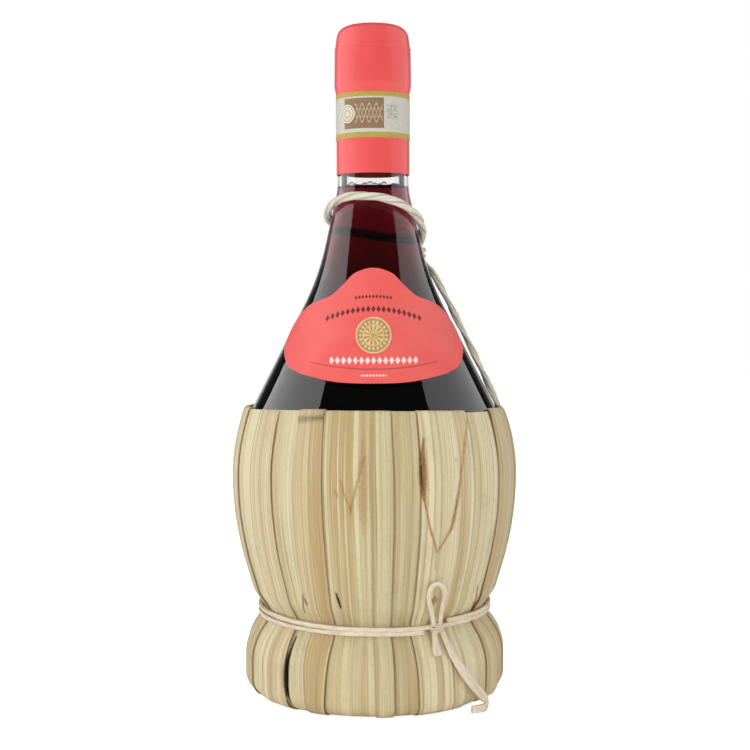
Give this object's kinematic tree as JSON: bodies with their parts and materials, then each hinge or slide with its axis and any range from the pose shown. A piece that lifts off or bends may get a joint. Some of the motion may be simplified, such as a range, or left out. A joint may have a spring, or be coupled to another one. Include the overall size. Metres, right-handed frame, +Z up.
{
  "type": "straw-wrapped wine flask",
  "caption": "Corked glass wine flask in a wrap of dried leaf strips tied at the waist, with a foil capsule, a bell-shaped front label and a cord round its neck.",
  "frame": {"origin": "middle of the wrap's flat underside, on the flask's axis", "axes": "+Z up along the flask's axis, -Y towards the front label"},
  "size_m": [0.1102, 0.1104, 0.2566],
  "materials": {
    "clear_glass": "gloss",
    "red_wine": "gloss",
    "cork": "matte",
    "coral_foil": "satin",
    "strip_paper": "matte",
    "label_paper": "matte",
    "gold_foil": "satin",
    "dried_leaf": "matte",
    "rush": "matte",
    "paper_cord": "matte"
  },
  "bodies": {
    "flask": {"flask": "clear_glass", "wine": "red_wine", "capsule_skirt": "coral_foil", "neck_strip": "strip_paper", "front_label": "label_paper", "label_seal": "gold_foil", "rim_band": "dried_leaf", "base_ring": "rush", "waist_cord": "paper_cord", "waist_knot": "paper_cord", "bow_loop": "paper_cord", "short_tail": "paper_cord", "long_tail": "paper_cord", "neck_loop": "paper_cord", "neck_stay": "paper_cord", "neck_knot": "paper_cord", "leaf_01": "dried_leaf", "leaf_02": "dried_leaf", "leaf_03": "dried_leaf", "leaf_04": "dried_leaf", "leaf_05": "dried_leaf", "leaf_06": "dried_leaf", "leaf_07": "dried_leaf", "leaf_08": "dried_leaf", "leaf_09": "dried_leaf", "leaf_10": "dried_leaf", "leaf_11": "dried_leaf", "leaf_12": "dried_leaf", "leaf_13": "dried_leaf", "leaf_14": "dried_leaf", "leaf_15": "dried_leaf", "leaf_16": "dried_leaf", "leaf_17": "dried_leaf", "leaf_18": "dried_leaf", "leaf_19": "dried_leaf", "leaf_20": "dried_leaf", "leaf_21": "dried_leaf", "leaf_22": "dried_leaf", "leaf_23": "dried_leaf", "leaf_24": "dried_leaf", "leaf_25": "dried_leaf", "leaf_26": "dried_leaf"},
    "cork": {"cork": "cork"},
    "crown": {"capsule_crown": "coral_foil"}
  },
  "joints": [
    {"name": "cork_pull", "type": "slide", "parent": "flask", "child": "cork", "axis": [0, 0, 1], "range_m": [0, 0.048]},
    {"name": "crown_lift", "type": "slide", "parent": "cork", "child": "crown", "axis": [0, 0, 1], "range_m": [0, 0.04]}
  ]
}
